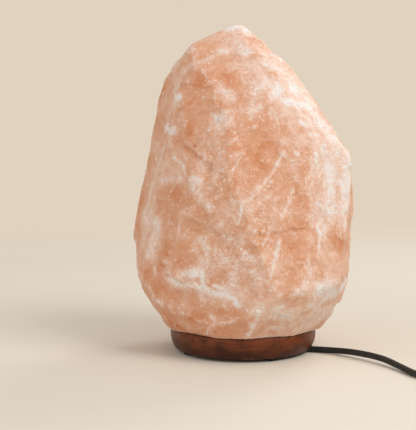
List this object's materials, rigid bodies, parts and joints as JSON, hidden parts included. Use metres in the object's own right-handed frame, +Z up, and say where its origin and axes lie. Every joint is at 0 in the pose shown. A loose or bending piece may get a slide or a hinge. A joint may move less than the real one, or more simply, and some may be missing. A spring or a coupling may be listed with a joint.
{
  "type": "salt crystal lamp",
  "caption": "Rough-hewn salt crystal on a round dark wood base, lit by a small bulb inside, with a black cord, thumbwheel dimmer and flat two-pin plug.",
  "frame": {"origin": "on the table, under the middle of the wooden base", "axes": "+Z up, the picture looks along +Y, the cord leaves the base towards +X and -Y"},
  "size_m": [0.3741, 0.2163, 0.2665],
  "materials": {
    "salt": "rough-hewn translucent rock salt, pale veins and frosted ridges",
    "wood": "dark red-brown stain under a satin varnish",
    "foot_pad": "matte black rubber",
    "screw_steel": "zinc-plated steel",
    "plug_nylon": "grey nylon",
    "sheet_steel": "pressed zinc-plated sheet",
    "spring_steel": "hardened spring strip",
    "holder_plastic": "black heat-proof moulding",
    "holder_ceramic": "white steatite",
    "contact_brass": "rolled brass",
    "bulb_glass": "clear blown glass",
    "bulb_metal": "rolled nickel-plated cap",
    "insulator_glass": "black vitrite",
    "solder": "tinned contact",
    "filament_wire": "tungsten wire",
    "cord_sheath": "smooth matte black sheath",
    "core_insulation": "coloured core insulation",
    "case_plastic": "fine-textured black moulding",
    "wheel_plastic": "ridged black moulding",
    "sleeve_rubber": "soft black moulding",
    "circuit_board": "lacquered board",
    "component_plastic": "dipped film capacitor",
    "control_plastic": "phenolic control body",
    "plug_plastic": "black moulded plug",
    "pin_metal": "nickel-plated brass",
    "tie_plastic": "black twist tie"
  },
  "bodies": {
    "lamp": {"base_foot_1": "foot_pad", "base_foot_2": "foot_pad", "base_foot_3": "foot_pad", "base_foot_4": "foot_pad", "base_screw_1": "screw_steel", "base_screw_2": "screw_steel", "base_screw_3": "screw_steel", "centre_contact": "contact_brass", "cord_coil": "cord_sheath", "cord_grip": "holder_plastic", "cord_lead_in": "cord_sheath", "cord_tie_1": "tie_plastic", "cord_tie_2": "tie_plastic", "cord_to_coil": "cord_sheath", "cord_to_dimmer": "cord_sheath", "cord_to_plug": "cord_sheath", "dimmer_base": "case_plastic", "dimmer_board": "circuit_board", "dimmer_capacitor": "component_plastic", "dimmer_core_1": "core_insulation", "dimmer_core_2": "core_insulation", "dimmer_core_3": "core_insulation", "dimmer_core_4": "core_insulation", "dimmer_cover": "case_plastic", "dimmer_potentiometer": "control_plastic", "dimmer_screw_1": "screw_steel", "dimmer_screw_2": "screw_steel", "dimmer_sleeve_1": "sleeve_rubber", "dimmer_sleeve_2": "sleeve_rubber", "holder_body": "holder_plastic", "holder_cap": "holder_plastic", "holder_core_1": "core_insulation", "holder_core_2": "core_insulation", "holder_flange": "sheet_steel", "holder_insert": "holder_ceramic", "plug_body": "plug_plastic", "plug_pin_1": "pin_metal", "plug_pin_2": "pin_metal", "salt_crystal": "salt", "screw_plug_1": "plug_nylon", "screw_plug_2": "plug_nylon", "screw_plug_3": "plug_nylon", "screw_shell": "contact_brass", "side_contact": "contact_brass", "terminal_1": "contact_brass", "terminal_2": "contact_brass", "wood_base": "wood"},
    "bulb": {"bulb_glass": "bulb_glass", "bulb_cap": "bulb_metal", "bulb_insulator": "insulator_glass", "bulb_tip": "solder", "bulb_stem": "bulb_glass", "lead_wire_1": "filament_wire", "lead_wire_2": "filament_wire", "bulb_filament": "filament_wire"},
    "dimmer_wheel": {"dimmer_wheel": "wheel_plastic"},
    "spring_clip_1": {"spring_clip_1": "spring_steel"},
    "spring_clip_2": {"spring_clip_2": "spring_steel"},
    "spring_clip_3": {"spring_clip_3": "spring_steel"}
  },
  "joints": [
    {"name": "dimmer_wheel_turn", "type": "hinge", "parent": "lamp", "child": "dimmer_wheel", "pos_m": [0.1855, -0.036, 0.0103], "axis": [0, 0, 1], "range_deg": [0, 280]},
    {"name": "bulb_turn", "type": "hinge", "parent": "lamp", "child": "bulb", "pos_m": [0, 0, 0.0423], "axis": [0, 0, 1], "range_deg": [0, 1260]},
    {"name": "spring_clip_1_flex", "type": "hinge", "parent": "lamp", "child": "spring_clip_1", "pos_m": [0.00905, 0.01568, 0.0108], "axis": [0.866, -0.5, 0], "range_deg": [0, 12], "stiffness_Nm_per_rad": 0.2},
    {"name": "spring_clip_2_flex", "type": "hinge", "parent": "lamp", "child": "spring_clip_2", "pos_m": [-0.0181, 0, 0.0108], "axis": [0, 1, 0], "range_deg": [0, 12], "stiffness_Nm_per_rad": 0.2},
    {"name": "spring_clip_3_flex", "type": "hinge", "parent": "lamp", "child": "spring_clip_3", "pos_m": [0.00905, -0.01568, 0.0108], "axis": [-0.866, -0.5, 0], "range_deg": [0, 12], "stiffness_Nm_per_rad": 0.2}
  ]
}
